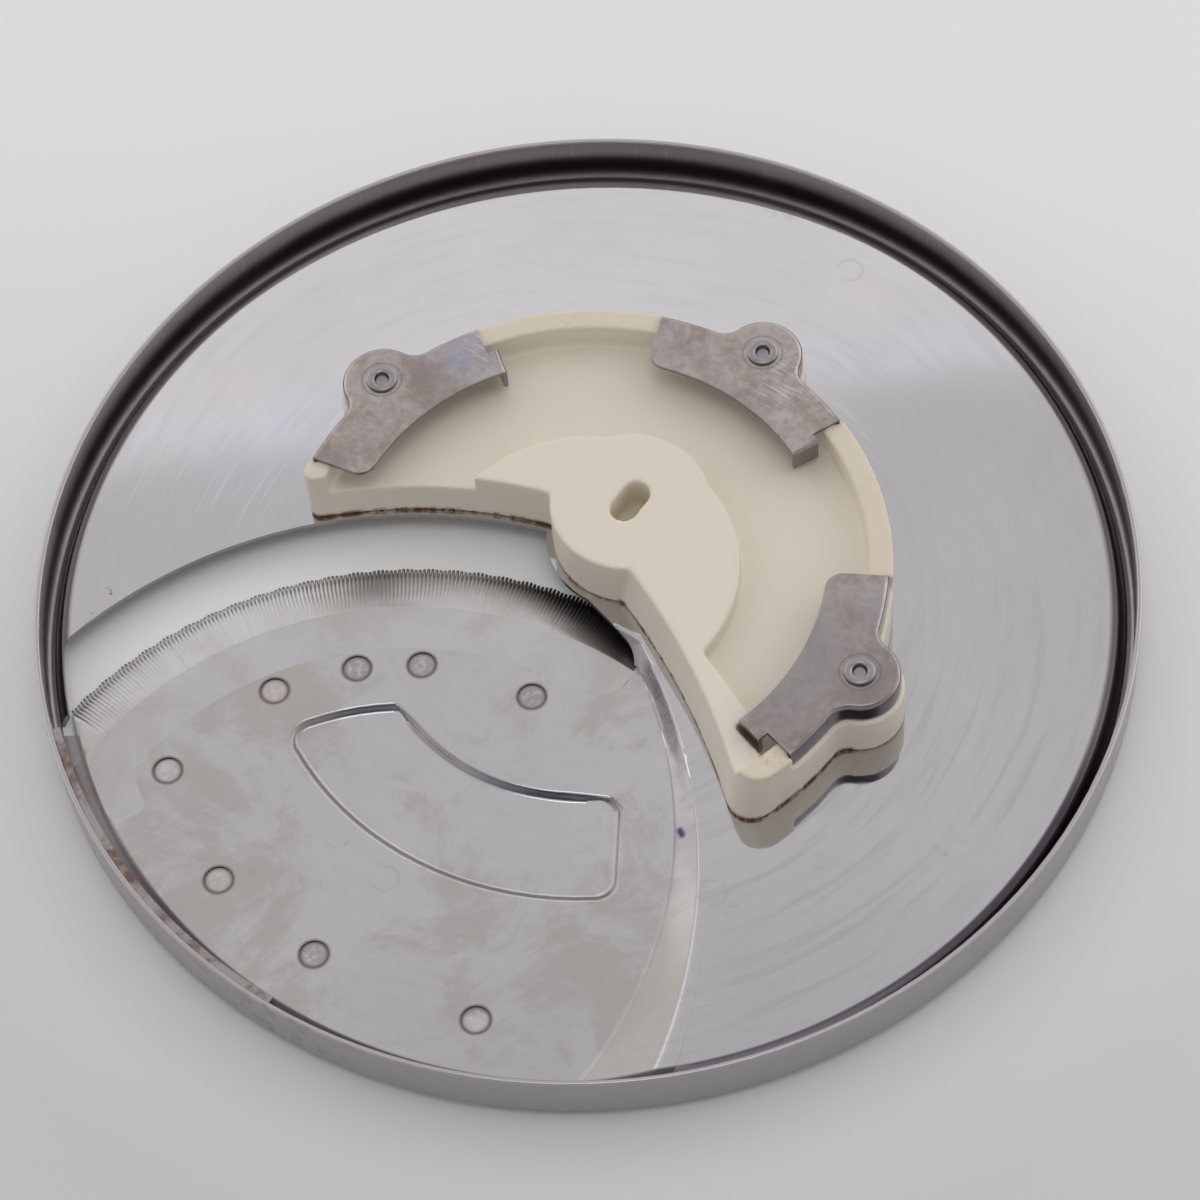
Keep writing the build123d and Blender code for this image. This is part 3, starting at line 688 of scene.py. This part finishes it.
class Maker:
    """Geometry node tree with named inputs, ending in Realize Instances and Set Material."""

    def __init__(self, name, material, **inputs):
        self.tree = bpy.data.node_groups.new(name, "GeometryNodeTree")
        face = self.tree.interface
        face.new_socket("Geometry", in_out="INPUT", socket_type="NodeSocketGeometry")
        self.values = {}
        for label, value in inputs.items():
            kind = "NodeSocketInt" if isinstance(value, int) else "NodeSocketFloat"
            made = face.new_socket(label, in_out="INPUT", socket_type=kind)
            self.values[made.identifier] = value
        face.new_socket("Geometry", in_out="OUTPUT", socket_type="NodeSocketGeometry")
        self.start = self.tree.nodes.new("NodeGroupInput")
        self.end = self.tree.nodes.new("NodeGroupOutput")
        self.material = material

    def given(self, label):
        return self.start.outputs[label]

    def node(self, kind, settings=None, output=0, **sockets):
        made = self.tree.nodes.new(kind)
        for key, value in (settings or {}).items():
            setattr(made, key, value)
        for key, value in sockets.items():
            socket = made.inputs[int(key[1:])] if key.startswith("_") else made.inputs[key]
            if isinstance(value, bpy.types.NodeSocket):
                self.tree.links.new(value, socket)
            else:
                socket.default_value = value
        return made.outputs[output]

    def maths(self, operation, *values):
        sockets = {f"_{place}": value for place, value in enumerate(values)}
        return self.node("ShaderNodeMath", {"operation": operation}, **sockets)

    def finish(self, geometry):
        real = self.node("GeometryNodeRealizeInstances", Geometry=geometry)
        painted = self.node("GeometryNodeSetMaterial", Geometry=real, Material=self.material)
        self.tree.links.new(painted, self.end.inputs[0])

    def made_from(self, mesh, name):
        """Runs the tree on a mesh and gives back a plain mesh."""
        holder = bpy.data.objects.new(name, mesh)
        bpy.context.scene.collection.objects.link(holder)
        modifier = holder.modifiers.new("maker", "NODES")
        modifier.node_group = self.tree
        for identifier, value in self.values.items():
            modifier[identifier] = value
        ready = holder.evaluated_get(bpy.context.evaluated_depsgraph_get())
        plain = bpy.data.meshes.new_from_object(ready)
        bpy.data.objects.remove(holder)
        return plain


def rivets(material):
    """One lathed semi-tubular rivet, set three times round the hub's rivet circle."""
    head, shank, roll, bore = 3.2 * MM, 1.6 * MM, 2.55 * MM, 1.2 * MM
    head_top = PLATE_TOP - SHEET
    head_foot = RIVET_FOOT
    profile = [(0, head_foot), (head - 0.5 * MM, head_foot), (head - 0.12 * MM, head_foot + 0.15 * MM),
               (head, head_foot + 0.45 * MM), (head, head_top), (shank, head_top), (shank, CLIP_TOP),
               (roll - 0.05 * MM, CLIP_TOP), (roll, CLIP_TOP + 0.15 * MM)]
    for step in range(1, 7):
        turn = radians(180 * step / 7)
        profile.append(((roll + bore) / 2 + (roll - bore) / 2 * cos(turn),
                        CLIP_TOP + 0.15 * MM + (RIVET_TOP - CLIP_TOP - 0.15 * MM) * sin(turn) ** 0.7))
    profile += [(bore, CLIP_TOP + 0.1 * MM), (bore * 0.8, CLIP_TOP - 0.25 * MM), (0, CLIP_TOP - 0.4 * MM)]
    maker = Maker("rivets", material, Count=3, Circle=RIVET_CIRCLE, First=radians(RIVET_ANGLES[0]),
                  Step=radians(RIVET_ANGLES[1] - RIVET_ANGLES[0]))
    number = maker.node("GeometryNodeInputIndex")
    turn = maker.maths("ADD", maker.maths("MULTIPLY", number, maker.given("Step")), maker.given("First"))
    circle = maker.given("Circle")
    place = maker.node("ShaderNodeCombineXYZ",
                       X=maker.maths("MULTIPLY", maker.maths("COSINE", turn), circle),
                       Y=maker.maths("MULTIPLY", maker.maths("SINE", turn), circle))
    points = maker.node("GeometryNodePoints", Count=maker.given("Count"), Position=place)
    facing = maker.node("ShaderNodeCombineXYZ", Z=turn)
    maker.finish(maker.node("GeometryNodeInstanceOnPoints", Points=points,
                            Instance=maker.given("Geometry"), Rotation=facing))
    mesh = maker.made_from(lathed(profile, 48), "rivets_maker")
    finished(mesh, "clip_rivets_finished", "clip_rivets")


materials = {}
for node, (finish, crease, rounding) in PIECES.items():
    if finish not in materials:
        materials[finish] = finish()
    dressed(node, materials[finish], crease, rounding)
rivets(rivet_steel())


def floor():
    """Pale paper that the disc lies on, painted darker towards the front as light falloff, and painted
    lighter through the window and round the rim as painted light.
    """
    finish = Finish("pale_paper", roughness=0.9)
    # Painted shade: the paper is painted darker towards the front and the left
    tone = finish.step(finish.y + finish.x * 0.22, -0.15, 0.13)
    colour = finish.mix(tone, (0.64, 0.64, 0.63), (0.90, 0.905, 0.89))
    # Painted light: the paper seen through the window is painted lighter
    painted_window_light = finish.step(finish.distance_to(tuple(BLADE_CENTRE)), 84 * MM, 74 * MM)
    painted_window_light = painted_window_light * finish.step(finish.distance_to((0.0, 0.0)), 87 * MM, 85 * MM)
    colour = finish.mix(painted_window_light, colour, (0.88, 0.885, 0.87))
    # Painted light: the paper close round the rim is painted lighter, against the rim's shadow
    painted_rim_light = finish.step(finish.distance_to((0.0, 0.0)), 122 * MM, 91 * MM) * (1.0 - painted_window_light)
    colour = finish.mix(painted_rim_light * 0.5, colour, (0.90, 0.90, 0.885))
    mesh = bpy.data.meshes.new("floor")
    half = 2.5
    corners = [(-half, -half, 0), (half, -half, 0), (half, half, 0), (-half, half, 0)]
    mesh.from_pydata([Vector(corner) for corner in corners], [], [(0, 1, 2, 3)])
    mesh.materials.append(finish.surface(colour, 0.9))
    sheet = bpy.data.objects.new("floor", mesh)
    bpy.context.scene.collection.objects.link(sheet)
    sheet.location.z = -0.02 * MM


def softbox(name, place, aim, side, watts):
    """Square area light that faces the aim."""
    light = bpy.data.lights.new(name, "AREA")
    light.shape = "RECTANGLE"
    light.size, light.size_y = side, side
    light.energy = watts
    lamp = bpy.data.objects.new(name, light)
    lamp.location = place
    lamp.rotation_mode = "QUATERNION"
    lamp.rotation_quaternion = (Vector(aim) - Vector(place)).to_track_quat("-Z", "Y")
    bpy.context.scene.collection.objects.link(lamp)


def room_light():
    """Soft room: bright low at the back, greyer overhead, dim where the camera stands."""
    world = bpy.data.worlds.new("room")
    bpy.context.scene.world = world
    world.use_nodes = True
    world.node_tree.nodes.clear()
    room = NodeTree(world.node_tree)
    x, y, z = room.axes(room.node("ShaderNodeTexCoord", output="Generated"))
    height = room.maths("MAXIMUM", z, 0.05)
    lean, aside = y / height, room.maths("ABSOLUTE", x / height)
    back = room.spread(room.step(lean, 0.671, 0.686), 0.69, 0.95)
    low = room.spread(room.step(lean, 0.44, 0.54), -0.07, 0.0)
    front = room.step(lean, 0.30, -0.20)
    sides = room.spread(room.step(aside, 0.85, 1.30), 1.0, 1.35)
    hole = room.between(lean, -0.92, -0.34, 0.16) * room.step(aside, 0.65, 0.35)
    level = ((back + low) * (1.0 - front) + front * 0.50) * sides * room.spread(hole, 1.0, 0.08)
    edge = room.between(lean, 0.684, 0.694, 0.006)
    tan = room.between(lean, 0.700, 0.716, 0.008) * room.step(aside, 0.07, 0.11)
    tint = room.mix(edge, (1.0, 0.985, 1.0), (0.985, 0.985, 1.06))
    tint = room.mix(tan * 0.6, tint, (1.0, 0.965, 0.935))
    shade = room.node("ShaderNodeBackground", Color=tint, Strength=level)
    output = room.tree.nodes.new("ShaderNodeOutputWorld")
    room.tree.links.new(shade.socket, output.inputs["Surface"])


def camera():
    """Camera in the photograph's place."""
    lens = bpy.data.cameras.new("camera")
    lens.sensor_width = 36.0
    lens.lens = LENS
    lens.clip_start, lens.clip_end = 0.01, 20.0
    body = bpy.data.objects.new("camera", lens)
    right = Vector(CAMERA_RIGHT).normalized()
    back = Vector(CAMERA_BACK).normalized()
    up = back.cross(right).normalized()
    right = up.cross(back)
    turn = Matrix((right, up, back)).transposed()
    body.matrix_world = Matrix.Translation(CAMERA_PLACE) @ turn.to_4x4()
    bpy.context.scene.collection.objects.link(body)
    bpy.context.scene.camera = body


floor()
room_light()
softbox("overhead softbox", (0.05, -0.12, 1.20), (0.05, -0.12, 0), 0.60, 1.45)
softbox("left softbox", (-2.2, 0.4, 0.9), (0, 0, 0), 1.8, 1.2)
softbox("right softbox", (2.0, 0.5, 1.0), (0, 0, 0), 2.0, 5.5)
camera()
bpy.context.scene.view_settings.view_transform = "Standard"
